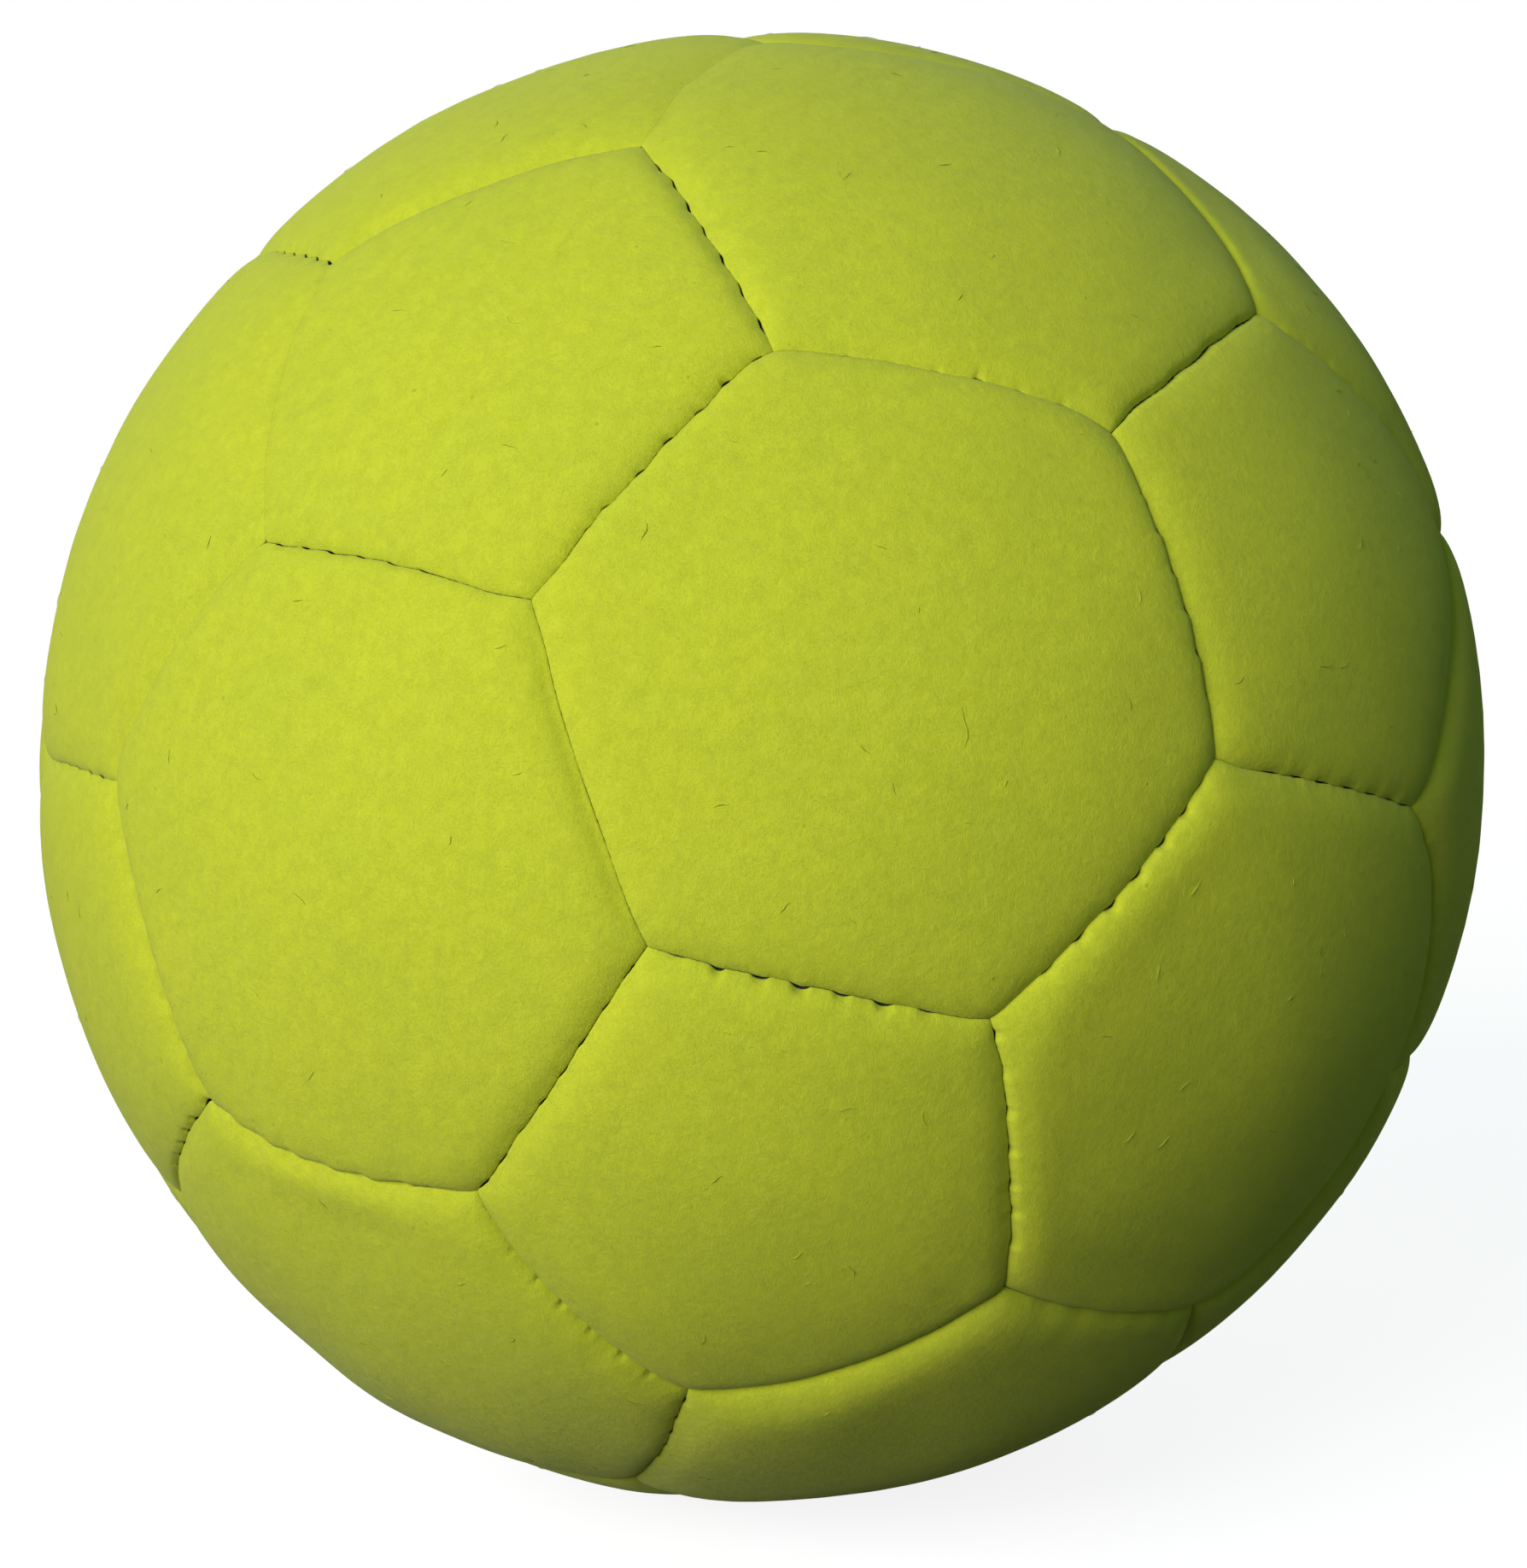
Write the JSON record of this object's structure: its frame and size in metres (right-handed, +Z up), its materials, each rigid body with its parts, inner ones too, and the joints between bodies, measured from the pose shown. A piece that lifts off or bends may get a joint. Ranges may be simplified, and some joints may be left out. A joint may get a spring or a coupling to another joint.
{
  "type": "felt ball",
  "caption": "Hand-stitched indoor football: felt hexagon and pentagon panels sewn over a rubber bladder with a needle valve.",
  "frame": {"origin": "centre of the ball", "axes": "+Y out through the middle of the panel that holds the valve, +Z up, +X to the right when the valve points away"},
  "size_m": [0.2192, 0.2192, 0.219],
  "materials": {
    "felt": "fluorescent yellow-green brushed felt, matt, with a short soft nap",
    "thread": "waxed twisted sewing thread",
    "bladder_rubber": "smooth matt butyl rubber",
    "valve_rubber": "moulded satin rubber",
    "plug_rubber": "moulded satin rubber, slightly greyer",
    "patch_cloth": "plain woven cotton"
  },
  "bodies": {
    "root": {"hexagon_panel_01": "felt", "hexagon_panel_02": "felt", "hexagon_panel_03": "felt", "hexagon_panel_04": "felt", "hexagon_panel_05": "felt", "hexagon_panel_06": "felt", "hexagon_panel_07": "felt", "hexagon_panel_08": "felt", "hexagon_panel_09": "felt", "hexagon_panel_10": "felt", "hexagon_panel_11": "felt", "hexagon_panel_12": "felt", "hexagon_panel_13": "felt", "hexagon_panel_14": "felt", "hexagon_panel_15": "felt", "hexagon_panel_16": "felt", "hexagon_panel_17": "felt", "hexagon_panel_18": "felt", "hexagon_panel_19": "felt", "hexagon_panel_valve": "felt", "pentagon_panel_01": "felt", "pentagon_panel_02": "felt", "pentagon_panel_03": "felt", "pentagon_panel_04": "felt", "pentagon_panel_05": "felt", "pentagon_panel_06": "felt", "pentagon_panel_07": "felt", "pentagon_panel_08": "felt", "pentagon_panel_09": "felt", "pentagon_panel_10": "felt", "pentagon_panel_11": "felt", "pentagon_panel_12": "felt", "seam_thread_01": "thread", "seam_thread_02": "thread", "seam_thread_03": "thread", "seam_thread_04": "thread", "seam_thread_05": "thread", "seam_thread_06": "thread", "seam_thread_07": "thread", "seam_thread_08": "thread", "seam_thread_09": "thread", "seam_thread_10": "thread", "seam_thread_11": "thread", "seam_thread_12": "thread", "bladder": "bladder_rubber", "valve_body": "valve_rubber", "valve_plug": "plug_rubber", "valve_patch": "patch_cloth"}
  },
  "joints": []
}
